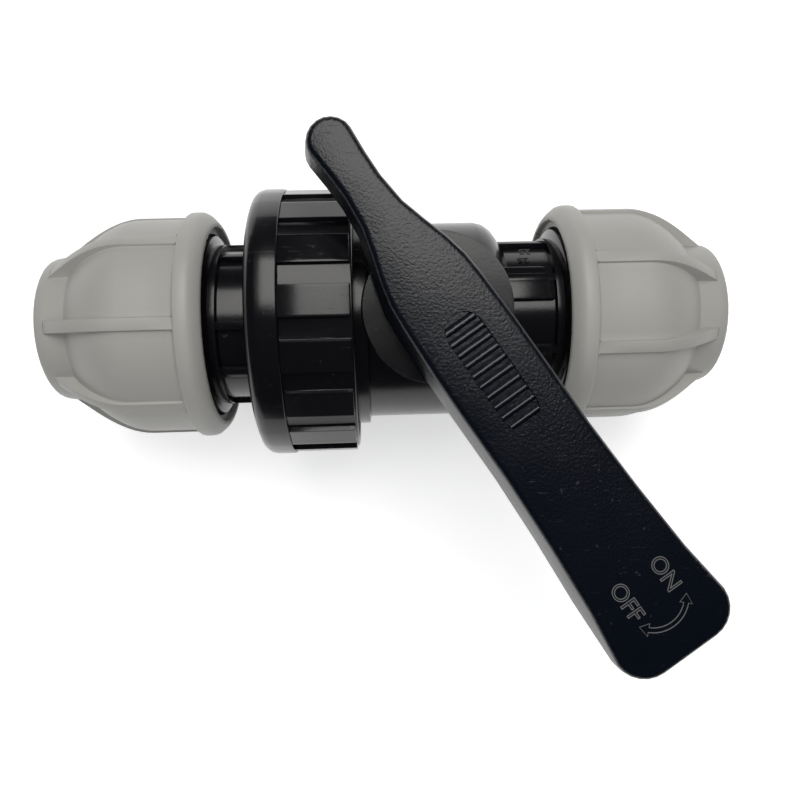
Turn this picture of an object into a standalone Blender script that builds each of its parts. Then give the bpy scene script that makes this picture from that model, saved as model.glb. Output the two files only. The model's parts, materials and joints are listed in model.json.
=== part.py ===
"""Plastic ball valve with one union joint and a compression end for 25 mm pipe at each side.

Frame: the origin is the ball's centre. +X is the flow axis, +Z is the stem axis, up.
Lengths are written in millimetres and scaled by MM when a mesh is made.
"""

import math

import bmesh
import bpy
from mathutils import Matrix

MM = 0.001
GAP = 0.3                       # clearance between neighbouring pieces

# Driving dimensions, in millimetres
PIPE_OD = 25.0
SOCKET_R = PIPE_OD / 2 + 0.3    # pipe socket bore
WATER_R = 10.5                  # water way
BALL_R = 16.5
NUT_LENGTH = 35.6               # compression nut, front face to mouth
NUT_FRONT_RIGHT = 31.2          # x of the right nut's flange
NUT_FRONT_LEFT = -51.1
THREAD_CORE_R = 20.2            # compression thread, core of the male half
NUT_BORE_R = 21.6               # bore of the nut over the thread
UNION_X = (-39.5, -17.1)        # union nut, from lip to open end
UNION_BAND = 7.2                # smooth band at its closed end
UNION_LIP = 5.5                 # thickness of its lip
UNION_R = 31.25
UNION_BORE_R = 28.4
BODY_END_X = -29.0              # body face inside the union
CHAMBER_R = 22.9                # outside of the ball chamber
NECK_R = 18.2                   # neck between its ribs
DISC_R = 15.6                   # top of the stem tower
DISC_Z = 29.0
HANDLE_ANGLE = -56.3            # direction of the handle's long end, degrees from +X
HANDLE_TOP_Z = 39.5
ROUND = 40                      # facets of a large round piece
SMALL_ROUND = 28                # facets of a small one
SEAL_STEPS = 24                 # facets round a seal

BLACK = (0.012, 0.012, 0.014, 1)
GREY = (0.35, 0.345, 0.33, 1)
WHITE = (0.8, 0.8, 0.78, 1)
RUBBER = (0.02, 0.02, 0.02, 1)


def clear_scene():
    for obj in list(bpy.data.objects):
        bpy.data.objects.remove(obj, do_unlink=True)


def material(name, colour, roughness):
    made = bpy.data.materials.new(name)
    made.use_nodes = True
    shader = made.node_tree.nodes["Principled BSDF"]
    shader.inputs["Base Color"].default_value = colour
    shader.inputs["Roughness"].default_value = roughness
    shader.inputs["Metallic"].default_value = 0
    return made


def new_object(name, bm, look=None, parent=None):
    """Closes bm into an object, faces out and shaded smooth between its sharp edges."""
    bmesh.ops.remove_doubles(bm, verts=bm.verts, dist=1e-6)
    bmesh.ops.recalc_face_normals(bm, faces=bm.faces)
    mesh = bpy.data.meshes.new(name)
    bm.to_mesh(mesh)
    bm.free()
    mesh.shade_smooth()
    mesh.set_sharp_from_angle(angle=math.radians(30))
    obj = bpy.data.objects.new(name, mesh)
    bpy.context.scene.collection.objects.link(obj)
    obj.parent = parent
    if look:
        mesh.materials.append(material(name, *look))
    return obj


def axis_matrix(axis):
    """Turns a shape that was spun round +X so that it stands on the named axis."""
    return Matrix.Rotation(math.radians(-90), 4, "Y") if axis == "Z" else Matrix.Identity(4)


def turned_mesh(profile, steps=ROUND, axis="X", slit=0.0, bump=None):
    """Spins a closed profile of (along, radius) points, in mm, round the axis.

    slit is an angle in degrees that is left open, with flat ends.
    bump(angle, along, radius) gives another radius where ribs or blocks stand out.
    """
    bm = bmesh.new()
    angles = spin_angles(steps, slit) if isinstance(steps, int) else steps
    rings = []
    for angle in angles:
        ring = []
        for along, radius in profile:
            r = bump(angle, along, radius) if bump else radius
            ring.append(bm.verts.new((along * MM, -r * MM * math.sin(angle), r * MM * math.cos(angle))))
        rings.append(ring)
    pairs = list(zip(rings, rings[1:]))
    if slit:
        bm.faces.new(rings[0])
        bm.faces.new(list(reversed(rings[-1])))
    else:
        pairs.append((rings[-1], rings[0]))
    for first, second in pairs:
        for i in range(len(profile)):
            j = (i + 1) % len(profile)
            bm.faces.new((first[i], first[j], second[j], second[i]))
    bmesh.ops.transform(bm, matrix=axis_matrix(axis), verts=bm.verts)
    return bm


def spin_angles(steps, slit):
    if not slit:
        return [2 * math.pi * i / steps for i in range(steps)]
    start = math.radians(slit) / 2
    span = 2 * math.pi - 2 * start
    return [start + span * i / steps for i in range(steps + 1)]


def block_angles(count, share, inner_steps):
    """Angles for blocks spaced evenly round a piece, each taking share of its pitch."""
    pitch = 2 * math.pi / count
    half = pitch * share / 2
    foot = half + math.radians(0.5)
    rest = pitch - 2 * foot
    angles = []
    for i in range(count):
        centre = pitch * i
        angles += [centre - foot, centre - half, centre + half, centre + foot]
        angles += [centre + foot + rest * k / inner_steps for k in range(1, inner_steps)]
    return angles


def on_block(angle, count, share):
    pitch = 2 * math.pi / count
    offset = (angle + pitch / 2) % pitch - pitch / 2
    return abs(offset) <= pitch * share / 2 + 1e-6


def mirrored(profile, about):
    """The profile reflected along its axis, so that x becomes about - x."""
    return [(about - along, radius) for along, radius in reversed(profile)]


def arc(centre, radius, start, end, steps):
    """Points of an arc as (along, radius) pairs, angles in degrees."""
    turn = [math.radians(start + (end - start) * i / steps) for i in range(steps + 1)]
    return [(centre[0] + radius * math.cos(t), centre[1] + radius * math.sin(t)) for t in turn]


def box_mesh(low, high):
    bm = bmesh.new()
    bmesh.ops.create_cube(bm, size=1)
    size = [b - a for a, b in zip(low, high)]
    middle = [(a + b) / 2 for a, b in zip(low, high)]
    bmesh.ops.scale(bm, vec=[s * MM for s in size], verts=bm.verts)
    bmesh.ops.translate(bm, vec=[m * MM for m in middle], verts=bm.verts)
    return bm


def boolean(target, operation, bm, name):
    """Joins or cuts the mesh bm, as a hidden helper that stands in the target's own axes."""
    helper = new_object(name, bm, parent=target.parent)
    helper.hide_render = True
    helper.hide_set(True)
    helper.display_type = "WIRE"
    modifier = target.modifiers.new(name, "BOOLEAN")
    modifier.operation = operation
    modifier.object = helper


def disc_mesh(radius, low, high, steps=SMALL_ROUND):
    """An upright cylinder on the stem axis."""
    bm = bmesh.new()
    place = Matrix.Translation((0, 0, (low + high) / 2 * MM))
    bmesh.ops.create_cone(
        bm, cap_ends=True, segments=steps, radius1=radius * MM, radius2=radius * MM,
        depth=(high - low) * MM, matrix=place,
    )
    return bm


# Compression end: profiles are for the right side; the left side mirrors them.

MIRROR_ABOUT = NUT_FRONT_RIGHT + NUT_FRONT_LEFT      # x becomes this minus x on the left
SOCKET_STOP = NUT_FRONT_RIGHT - 3.2                  # shoulder that the pipe's end meets
SEAL_X = NUT_FRONT_RIGHT + 14.3                      # start of the seal's counterbore
END_X = NUT_FRONT_RIGHT + 18.8                       # end of the threaded socket
SEAL_R = 16.2
RIB_COUNT = 8
RIB_SHARE = 0.155
NUT_LIP = 2.2                   # conical front of the flange, ahead of NUT_FRONT_RIGHT
CREST_START_R = 17.0            # a rib's crest rises from here,
CREST_RISE = 8.45               # by this much,
CREST_LENGTH = 20.0             # and is level from this distance behind the mouth
CREST_TIP = 2.5                 # tip of a rib, this far behind the mouth
CONE_START_X = END_X + 2.9      # wide end of the grip ring's cone
CONE_START_R = 16.9
CONE_END_R = 13.9


def socket_outside(start_x, neck_r):
    """Outline of the neck, the collar and the thread core, from start_x to the socket's end."""
    front = NUT_FRONT_RIGHT
    return [
        (start_x, neck_r), (front - 4.0, neck_r), (front - 3.6, 21.0), (front - 0.8, 21.0),
        (front - 0.4, THREAD_CORE_R), (END_X, THREAD_CORE_R),
    ]


def socket_inside():
    """Outline of the pipe socket, from the mouth down to the water way."""
    return [
        (END_X, SEAL_R), (SEAL_X, SEAL_R), (SEAL_X, SOCKET_R),
        (SOCKET_STOP, SOCKET_R), (SOCKET_STOP, WATER_R),
    ]


def neck_ribs(angle, along, radius):
    """Eight low ribs along a neck; other stations of the profile stay round."""
    if abs(radius - NECK_R) < 0.01 and on_block(angle, RIB_COUNT, RIB_SHARE):
        return radius + 0.8
    return radius


def nut_outside():
    """Compression nut from its flange, over the dome between its ribs, to the mouth's collar."""
    front = NUT_FRONT_RIGHT
    mouth = front + NUT_LENGTH
    return [
        (front - NUT_LIP, 23.7), (front + 0.4, 26.4), (front + 2.9, 26.4), (front + 3.2, 25.7),
        (front + 3.6, 25.0), (mouth - 21.0, 24.9), (mouth - 17.4, 24.4), (mouth - 14.0, 22.9),
        (mouth - 10.4, 20.4), (mouth - 8.0, 18.4), (mouth - 7.0, 17.2), (mouth - 2.7, 16.8),
        (mouth - 0.8, 16.6), (mouth, 15.8),
    ]


def nut_inside():
    """The nut's mouth ring, cone over the grip ring, and thread bore."""
    mouth = NUT_FRONT_RIGHT + NUT_LENGTH
    return [
        (mouth, 13.6), (mouth - 2.0, 13.3), (mouth - 2.0, CONE_END_R + 0.35),
        (CONE_START_X, CONE_START_R + 0.35), (CONE_START_X, 19.0), (END_X + 0.6, NUT_BORE_R),
        (NUT_FRONT_RIGHT - NUT_LIP, NUT_BORE_R),
    ]


def nut_ribs(angle, along, radius):
    """Eight flat-topped ribs run over the dome, from the flange to the mouth's collar.

    A rib's crest is a quarter of a sine wave, so that it stands higher where the dome falls away.
    """
    from_mouth = NUT_FRONT_RIGHT + NUT_LENGTH - along
    inside = radius in [r for _, r in nut_inside()]
    past_ends = from_mouth < CREST_TIP or along < NUT_FRONT_RIGHT + 3.4
    if inside or past_ends or not on_block(angle, RIB_COUNT, RIB_SHARE):
        return radius
    reach = min((from_mouth - CREST_TIP) / (CREST_LENGTH - CREST_TIP), 1.0)
    return CREST_START_R + CREST_RISE * math.sin(math.pi / 2 * reach)


def ring_profile(centre_x, centre_r, section_r, sides=6):
    step = 2 * math.pi / sides
    return [
        (centre_x + section_r * math.cos(i * step), centre_r + section_r * math.sin(i * step))
        for i in range(sides)
    ]


def bush_profile():
    """Stepped bush that the grip ring presses against the seal."""
    seat = SEAL_X + 3.9
    return [
        (seat, SOCKET_R), (seat, SEAL_R - GAP), (END_X + GAP, SEAL_R - GAP), (END_X + GAP, 18.4),
        (END_X + 2.6, 18.4), (END_X + 2.6, SOCKET_R),
    ]


def grip_profile():
    """Cone of the split grip ring, with three teeth inside."""
    start = CONE_START_X
    end = NUT_FRONT_RIGHT + NUT_LENGTH - 2.3
    teeth = []
    for i in range(3):
        x = end - 1.2 - 3.0 * i
        teeth += [(x, 12.6), (x - 2.9, 13.2)]
    return [(start, SOCKET_R + 0.4), (start, CONE_START_R), (end, CONE_END_R), (end, 13.2)] + teeth


def compression_end(side, carrier, grip_frame, nut_frame):
    """The seal, bush, split grip ring and nut of one end. side is 'left' or 'right'."""
    def at_side(profile):
        return profile if side == "right" else mirrored(profile, MIRROR_ABOUT)

    def ribs(angle, along, radius):
        return nut_ribs(angle, along if side == "right" else MIRROR_ABOUT - along, radius)

    seal = turned_mesh(at_side(ring_profile(SEAL_X + 1.9, 14.5, 1.5)), SEAL_STEPS)
    new_object(f"pipe_oring_{side}", seal, (RUBBER, 0.55), carrier)
    bush = turned_mesh(at_side(bush_profile()), SMALL_ROUND)
    new_object(f"bush_{side}", bush, (BLACK, 0.35), carrier)
    grip = turned_mesh(at_side(grip_profile()), SMALL_ROUND, slit=12)
    new_object(f"grip_ring_{side}", grip, (WHITE, 0.4), grip_frame)
    shell = nut_outside() + nut_inside()
    nut = turned_mesh(at_side(shell), block_angles(RIB_COUNT, RIB_SHARE, 3), bump=ribs)
    nut_object = new_object(f"nut_{side}", nut, (GREY, 0.45), nut_frame)
    if side == "right":
        nut_object.rotation_euler.x = math.radians(19)


# Union joint

def union_nut_profile():
    left, right = UNION_X
    smooth_end = left + UNION_BAND
    outside = [
        (left, 28.8), (left + 1.6, UNION_R), (smooth_end, UNION_R), (smooth_end + 0.4, 30.9),
        (smooth_end + 0.9, 30.9), (right - 1.2, 30.9), (right, 29.7),
    ]
    inside = [
        (right, UNION_BORE_R), (left + UNION_LIP, UNION_BORE_R),
        (left + UNION_LIP, 22.0), (left, 22.0),
    ]
    return list(reversed(outside)) + list(reversed(inside))


UNION_BLOCKS = 17
BLOCK_SHARE = 0.62


def union_blocks(angle, along, radius):
    """Grip blocks round the open half, with shallow recesses between them."""
    smooth_end = UNION_X[0] + UNION_BAND
    if along > smooth_end + 0.7 and radius > 29.9 and not on_block(angle, UNION_BLOCKS, BLOCK_SHARE):
        return 29.8
    return radius


def tail_profile():
    """Union tail: flange inside the nut, ribbed neck, collar, thread core and pipe socket."""
    face = BODY_END_X - GAP
    flange = UNION_X[0] + UNION_LIP + GAP
    outside = mirrored(socket_outside(MIRROR_ABOUT - flange, NECK_R), MIRROR_ABOUT)
    inside = mirrored(socket_inside(), MIRROR_ABOUT)
    return outside + [(flange, 27.5), (face, 27.5), (face, WATER_R)] + inside


def make_union(tail_frame, nut_frame):
    tail = turned_mesh(tail_profile(), block_angles(RIB_COUNT, RIB_SHARE, 3), bump=neck_ribs)
    new_object("union_tail", tail, (BLACK, 0.25), tail_frame)
    steps = block_angles(UNION_BLOCKS, BLOCK_SHARE, 1)
    nut = turned_mesh(union_nut_profile(), steps, bump=union_blocks)
    new_object("union_nut", nut, (BLACK, 0.25), nut_frame)


# Body, ball, seats and stem

CAVITY_R = 17.3
SEAT_IN_R = 10.8
SEAT_OUT_R = 14.2
SEAT_BACK = 14.6
POCKET_X = 8.7                  # where the seat's pocket meets the ball's cavity
CARRIER_R = 20.2
CARRIER_SHOULDER = -13.2
STEM_R = 6.5
STEM_BORE_R = 7.0
STEM_FLANGE_R = 8.2
STEM_SHOULDER_Z = 20.0
STEM_POCKET_Z = 14.5            # the pocket starts inside the ball's cavity
ORING_Z = (22.2, 25.6)


def body_profile():
    collar_start = UNION_X[1]
    outside = [
        (BODY_END_X, 27.0), (collar_start - 2.4, 27.0), (collar_start - 0.6, 24.5),
        (collar_start + 2.7, 24.5), (collar_start + 3.0, CHAMBER_R), (10.8, CHAMBER_R), (14.4, 21.4),
        (16.8, NECK_R),
    ] + socket_outside(16.8, NECK_R)[1:]
    inside = socket_inside() + [
        (SEAT_BACK + GAP, WATER_R), (SEAT_BACK + GAP, SEAT_OUT_R + GAP), (POCKET_X, SEAT_OUT_R + GAP),
        (POCKET_X, CAVITY_R), (CARRIER_SHOULDER, CAVITY_R), (CARRIER_SHOULDER, CARRIER_R + GAP),
        (BODY_END_X, CARRIER_R + GAP), (BODY_END_X, 21.9), (BODY_END_X + 2.4, 21.9),
        (BODY_END_X + 2.4, 24.5), (BODY_END_X, 24.5),
    ]
    return outside + inside


def make_body(root):
    shell = turned_mesh(body_profile(), block_angles(RIB_COUNT, RIB_SHARE, 3), bump=neck_ribs)
    body = new_object("valve_body", shell, (BLACK, 0.22), root)
    boolean(body, "UNION", tower_mesh(), "stem_tower")
    bore = turned_mesh(
        [(STEM_POCKET_Z, 0.0001), (STEM_POCKET_Z, STEM_FLANGE_R + GAP),
         (STEM_SHOULDER_Z, STEM_FLANGE_R + GAP), (STEM_SHOULDER_Z, STEM_BORE_R),
         (DISC_Z + 1, STEM_BORE_R), (DISC_Z + 1, 0.0001)],
        SMALL_ROUND, axis="Z",
    )
    boolean(body, "DIFFERENCE", bore, "stem_bore")


def tower_mesh():
    """Round tower that rises from the chamber, with a thin disc on top."""
    profile = [
        (18.5, 0.0001), (18.5, 12.4), (DISC_Z - 4.2, 12.4), (DISC_Z - 2.2, DISC_R),
        (DISC_Z, DISC_R), (DISC_Z, 0.0001),
    ]
    return turned_mesh(profile, axis="Z")


def seat_profile():
    """Seat ring whose inner face follows the ball."""
    steps = 4
    face = []
    for i in range(steps + 1):
        r = SEAT_IN_R + (SEAT_OUT_R - SEAT_IN_R) * i / steps
        face.append((math.sqrt((BALL_R + GAP) ** 2 - r * r), r))
    return face + [(SEAT_BACK, SEAT_OUT_R), (SEAT_BACK, SEAT_IN_R)]


def carrier_profile():
    """Screwed ring that holds the front seat against the ball."""
    nose = CAVITY_R - GAP
    return [
        (-POCKET_X, SEAT_OUT_R + GAP), (-POCKET_X, nose), (-10.2, nose), (-10.2, 15.6), (-12.2, 15.6),
        (-12.2, nose), (CARRIER_SHOULDER - GAP, nose), (CARRIER_SHOULDER - GAP, CARRIER_R - 0.1),
        (BODY_END_X + 2.0, CARRIER_R - 0.1), (BODY_END_X + 2.0, WATER_R), (-SEAT_BACK - GAP, WATER_R),
        (-SEAT_BACK - GAP, SEAT_OUT_R + GAP),
    ]


def make_seats(root):
    seat = seat_profile()
    new_object("seat_fixed", turned_mesh(seat, SMALL_ROUND), (WHITE, 0.5), root)
    new_object("seat_front", turned_mesh(mirrored(seat, 0), SMALL_ROUND), (WHITE, 0.5), root)
    carrier = new_object("seat_carrier", turned_mesh(carrier_profile()), (BLACK, 0.35), root)
    notch = box_mesh((BODY_END_X + 1, -17.5, -2), (BODY_END_X + 4.6, 17.5, 2))
    boolean(carrier, "DIFFERENCE", notch, "key_slots")
    rings = {"carrier_oring": (-11.2, 16.4, 0.7), "union_face_oring": (BODY_END_X + 1.1, 23.2, 0.95)}
    for name, (x, r, section) in rings.items():
        new_object(name, turned_mesh(ring_profile(x, r, section), SEAL_STEPS), (RUBBER, 0.55), root)


def ball_mesh():
    half = math.sqrt(BALL_R ** 2 - WATER_R ** 2)
    start = math.degrees(math.atan2(WATER_R, half))
    outside = arc((0, 0), BALL_R, 180 - start, start, 10)
    return turned_mesh(outside, SMALL_ROUND)


def make_ball_and_stem(turning):
    """Ball, stem and seals in the handle's own axes: local +X is the bore and the handle."""
    ball = new_object("ball", ball_mesh(), (WHITE, 0.25), turning)
    boolean(ball, "DIFFERENCE", box_mesh((-2.6, -9.5, 13.0), (2.6, 9.5, 20)), "ball_slot")
    groove = STEM_R - 1.45
    profile = [(16.9, 0.0001), (16.9, STEM_FLANGE_R), (STEM_SHOULDER_Z - GAP, STEM_FLANGE_R)]
    profile += [(STEM_SHOULDER_Z - GAP, STEM_R)]
    for z in ORING_Z:
        profile += [(z - 1.0, STEM_R), (z - 1.0, groove), (z + 1.0, groove), (z + 1.0, STEM_R)]
    profile += [(DISC_Z + 0.6, STEM_R), (DISC_Z + 0.6, 0.0001)]
    stem = new_object("stem", turned_mesh(profile, SMALL_ROUND, axis="Z"), (BLACK, 0.35), turning)
    boolean(stem, "UNION", box_mesh((-2.3, -7.4, 13.3), (2.3, 7.4, 17.5)), "stem_tongue")
    square = box_mesh((-4.2, -4.2, DISC_Z), (4.2, 4.2, HANDLE_TOP_Z - 3.2))
    boolean(stem, "UNION", square, "stem_square")
    for label, z in zip(("lower", "upper"), ORING_Z):
        ring = turned_mesh(ring_profile(z, 6.05, 0.75), SEAL_STEPS, axis="Z")
        new_object(f"stem_oring_{label}", ring, (RUBBER, 0.55), turning)


# Handle: an inverted channel with a long end, a narrow tail and a hub

HANDLE_END = 83.0
HANDLE_TAIL = -40.9
HANDLE_CORNER = 6.5
HALF_WIDTHS = (                 # (distance along the handle, half width of the top)
    (-36.5, 4.5), (-31.0, 4.1), (-26.0, 4.0), (-20.0, 4.6), (-15.0, 6.0), (-10.0, 7.6),
    (-5.0, 8.7), (0.0, 9.1), (10.0, 9.5), (20.0, 9.6), (35.0, 9.6), (50.0, 10.2), (65.0, 11.2),
)
WALL_Z = 29.9                   # lower edge of the side walls
TAIL_WALL_Z = 32.4              # the tail clears the union nut


def handle_outline(grow):
    """Closed plan outline in mm, counterclockwise, pushed outwards by grow."""
    end_half = 12.6
    corner = HANDLE_CORNER + grow
    side = [(u, half + grow) for u, half in HALF_WIDTHS]
    centre = (HANDLE_END - HANDLE_CORNER, end_half - HANDLE_CORNER)
    for i in range(6):
        turn = math.radians(90 - 18 * i)
        side.append((centre[0] + corner * math.cos(turn), centre[1] + corner * math.sin(turn)))
    tip = HANDLE_TAIL + 4.6
    tail = [
        (tip - (4.6 + grow) * math.sin(math.radians(t)), (4.6 + grow) * math.cos(math.radians(t)))
        for t in (90, 70, 50, 30, 10)
    ]
    upper = tail + side
    lower = [(u, -v) for u, v in reversed(upper[1:])]
    return list(reversed(upper + lower))


def wall_foot(u):
    """Height of a wall's lower edge at distance u along the handle."""
    blend = min(max((-u - 6.0) / 4.0, 0.0), 1.0)
    return WALL_Z + (TAIL_WALL_Z - WALL_Z) * blend


def handle_mesh():
    """Shell of the handle: top with a chamfered edge, flared walls, open underside."""
    rim, flare, wall, roof = 0.8, 1.1, 2.0, 2.6
    rings = (
        (-rim, lambda u: HANDLE_TOP_Z), (0.0, lambda u: HANDLE_TOP_Z - rim), (flare, wall_foot),
        (flare - wall, wall_foot), (-wall, lambda u: HANDLE_TOP_Z - roof),
    )
    bm = bmesh.new()
    made = []
    for grow, height in rings:
        made.append([bm.verts.new((u * MM, v * MM, height(u) * MM)) for u, v in handle_outline(grow)])
    count = len(made[0])
    for upper, lower in zip(made, made[1:]):
        for i in range(count):
            j = (i + 1) % count
            bm.faces.new((upper[i], lower[i], lower[j], upper[j]))
    bm.faces.new(made[0])
    bm.faces.new(list(reversed(made[-1])))
    return bm


def make_handle(turning):
    handle = new_object("handle", handle_mesh(), (BLACK, 0.4), turning)
    boolean(handle, "UNION", disc_mesh(7.6, DISC_Z + 0.9, HANDLE_TOP_Z - 1.5), "handle_hub")
    socket = box_mesh((-4.5, -4.5, DISC_Z), (4.5, 4.5, HANDLE_TOP_Z - 2.9))
    boolean(handle, "DIFFERENCE", socket, "handle_socket")


def frame_empty(name, parent=None):
    """An empty on a joint's axis, which carries one moving body."""
    empty = bpy.data.objects.new(name, None)
    bpy.context.scene.collection.objects.link(empty)
    empty.parent = parent
    return empty


def main():
    clear_scene()
    root = frame_empty("body_frame")
    turning = frame_empty("handle_axis", root)
    turning.rotation_euler.z = math.radians(HANDLE_ANGLE)
    tail = frame_empty("tail_axis", root)
    union = frame_empty("union_nut_axis", tail)
    left_grip = frame_empty("left_grip_axis", tail)
    left_nut = frame_empty("left_nut_axis", left_grip)
    right_grip = frame_empty("right_grip_axis", root)
    right_nut = frame_empty("right_nut_axis", right_grip)
    make_body(root)
    make_seats(root)
    make_ball_and_stem(turning)
    make_handle(turning)
    make_union(tail, union)
    compression_end("left", tail, left_grip, left_nut)
    compression_end("right", root, right_grip, right_nut)


main()
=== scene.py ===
import json
import math

import bmesh
import bpy
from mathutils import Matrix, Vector


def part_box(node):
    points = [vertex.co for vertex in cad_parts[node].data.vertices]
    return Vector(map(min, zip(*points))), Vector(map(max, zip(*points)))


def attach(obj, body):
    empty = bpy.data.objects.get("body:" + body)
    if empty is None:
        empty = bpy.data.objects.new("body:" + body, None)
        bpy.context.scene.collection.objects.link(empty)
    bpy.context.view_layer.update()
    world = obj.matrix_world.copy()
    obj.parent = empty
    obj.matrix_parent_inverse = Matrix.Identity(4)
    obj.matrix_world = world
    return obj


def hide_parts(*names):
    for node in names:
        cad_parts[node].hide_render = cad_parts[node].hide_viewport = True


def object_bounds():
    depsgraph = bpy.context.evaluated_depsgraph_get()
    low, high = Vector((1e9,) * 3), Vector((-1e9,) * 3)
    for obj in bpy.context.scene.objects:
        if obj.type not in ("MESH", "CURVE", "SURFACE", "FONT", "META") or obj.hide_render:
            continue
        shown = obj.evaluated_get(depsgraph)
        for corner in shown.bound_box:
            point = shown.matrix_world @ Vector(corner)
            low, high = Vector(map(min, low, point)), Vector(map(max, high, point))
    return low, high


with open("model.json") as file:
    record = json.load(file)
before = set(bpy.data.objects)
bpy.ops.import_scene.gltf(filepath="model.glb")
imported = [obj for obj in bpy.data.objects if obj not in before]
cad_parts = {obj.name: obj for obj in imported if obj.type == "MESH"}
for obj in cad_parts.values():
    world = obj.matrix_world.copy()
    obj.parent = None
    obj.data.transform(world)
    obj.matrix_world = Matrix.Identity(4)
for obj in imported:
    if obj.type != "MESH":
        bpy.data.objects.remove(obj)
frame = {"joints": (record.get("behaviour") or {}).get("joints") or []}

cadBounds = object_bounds()
mm = 0.001
scene = bpy.context.scene
fullTurn = 2 * math.pi


def span(node):
    # lowest and highest corner of a frame node, in millimetres
    low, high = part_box(node)
    return low / mm, high / mm


# places along the flow axis that the frame gives
nutLip = 2.2
rightFront = span("nut_right")[0].x + nutLip  # its flange, behind the conical lip
rightMouth = span("nut_right")[1].x
unionLeft = span("union_nut")[0].x
unionRight = span("union_nut")[1].x
bodyEnd = span("valve_body")[0].x
socketEnd = span("valve_body")[1].x
discTop = span("valve_body")[1].z
leverFoot = span("handle")[0].z
leverTop = span("handle")[1].z
mirrorAbout = span("nut_right")[0].x + span("nut_left")[1].x

# the lever lies along the flow axis at the upper end of its turn
leverTurn = [j for j in frame["joints"] if j["name"] == "handle_turn"][0]
leverAngle = -math.radians(leverTurn["range_deg"][1])


# modelling helpers, used by every piece


def freshStart():
    if bpy.context.mode != "OBJECT":
        bpy.ops.object.mode_set(mode="OBJECT")
    bpy.ops.object.select_all(action="DESELECT")


def drawOutline(name, points):
    # a closed line of edges through the points, in metres, left in edit mode and selected
    freshStart()
    bpy.ops.mesh.primitive_plane_add(size=mm, location=(0, 0, 0))
    piece = bpy.context.object
    piece.name = name
    piece.data.name = name
    bpy.ops.object.mode_set(mode="EDIT")
    bpy.ops.mesh.select_mode(type="VERT")
    bpy.ops.mesh.select_all(action="SELECT")
    bpy.ops.mesh.merge(type="CENTER")
    bpy.ops.transform.translate(value=points[0])
    for here, there in zip(points, points[1:] + points[:1]):
        step = tuple(b - a for a, b in zip(here, there))
        bpy.ops.mesh.extrude_region_move(TRANSFORM_OT_translate={"value": step})
    bpy.ops.mesh.select_all(action="SELECT")
    bpy.ops.mesh.remove_doubles(threshold=1e-6)
    return piece


def closeUp(merge=2e-6):
    # in edit mode: welds, points the faces outwards and goes back to object mode
    bpy.ops.mesh.select_all(action="SELECT")
    bpy.ops.mesh.remove_doubles(threshold=merge)
    bpy.ops.mesh.select_all(action="SELECT")
    bpy.ops.mesh.normals_make_consistent(inside=False)
    bpy.ops.object.mode_set(mode="OBJECT")


def turned(name, profile, steps=96, axis="X", slit=0):
    # spins a section of (along, radius) points in mm; slit leaves an open gap in degrees
    if axis == "X":
        points = [(along * mm, 0, radius * mm) for along, radius in profile]
        spinAxis = (1, 0, 0)
    else:
        points = [(radius * mm, 0, along * mm) for along, radius in profile]
        spinAxis = (0, 0, 1)
    piece = drawOutline(name, points)
    angle = fullTurn - math.radians(slit)
    bpy.ops.mesh.spin(steps=steps, angle=angle, center=(0, 0, 0), axis=spinAxis)
    bpy.ops.mesh.select_all(action="SELECT")
    bpy.ops.mesh.remove_doubles(threshold=2e-6)
    if slit:
        bpy.ops.mesh.fill_holes(sides=0)
    bpy.ops.mesh.select_all(action="SELECT")
    bpy.ops.mesh.delete_loose()  # the edge along the axis of a solid shape
    closeUp()
    return piece


def selectFaces(test):
    # in edit mode: selects the faces whose middle and normal pass the test
    bpy.ops.mesh.select_mode(type="FACE")
    bpy.ops.mesh.select_all(action="DESELECT")
    mesh = bpy.context.object.data
    edit = bmesh.from_edit_mesh(mesh)
    for face in edit.faces:
        face.select_set(test(face.calc_center_median() / mm, face.normal))
    bmesh.update_edit_mesh(mesh)


def selectPoints(test):
    # in edit mode: selects the vertices whose place, in mm, passes the test
    bpy.ops.mesh.select_mode(type="VERT")
    bpy.ops.mesh.select_all(action="DESELECT")
    mesh = bpy.context.object.data
    edit = bmesh.from_edit_mesh(mesh)
    for point in edit.verts:
        point.select_set(test(point.co / mm))
    edit.select_flush_mode()
    bmesh.update_edit_mesh(mesh)


def cutBy(place, normal):
    # in edit mode: one straight cut through the whole piece
    bpy.ops.mesh.select_all(action="SELECT")
    bpy.ops.mesh.bisect(plane_co=tuple(p * mm for p in place), plane_no=normal)


def softenSharp(offset, degrees=35, segments=2):
    # in edit mode: rounds every edge sharper than the angle
    bpy.ops.mesh.select_mode(type="EDGE")
    bpy.ops.mesh.select_all(action="DESELECT")
    bpy.ops.mesh.edges_select_sharp(sharpness=math.radians(degrees))
    bpy.ops.mesh.bevel(offset=offset * mm, segments=segments, affect="EDGES")


def repeatRound(count):
    # in edit mode: copies one sector round the flow axis and joins the copies
    bpy.ops.mesh.select_all(action="SELECT")
    angle = fullTurn * (count - 1) / count
    bpy.ops.mesh.spin(steps=count - 1, angle=angle, center=(0, 0, 0), axis=(1, 0, 0), dupli=True)


def block(name, low, high, soften=0.0):
    # a box between two corners in mm, with rounded edges
    freshStart()
    bpy.ops.mesh.primitive_cube_add(size=1, location=(0, 0, 0))
    piece = bpy.context.object
    piece.name = name
    bpy.ops.object.mode_set(mode="EDIT")
    bpy.ops.mesh.select_all(action="SELECT")
    size = [(b - a) * mm for a, b in zip(low, high)]
    middle = [(a + b) / 2 * mm for a, b in zip(low, high)]
    bpy.ops.transform.resize(value=size, center_override=(0, 0, 0))
    bpy.ops.transform.translate(value=middle)
    if soften:
        bpy.ops.mesh.bevel(offset=soften * mm, segments=2, affect="EDGES")
    bpy.ops.object.mode_set(mode="OBJECT")
    return piece


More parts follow.
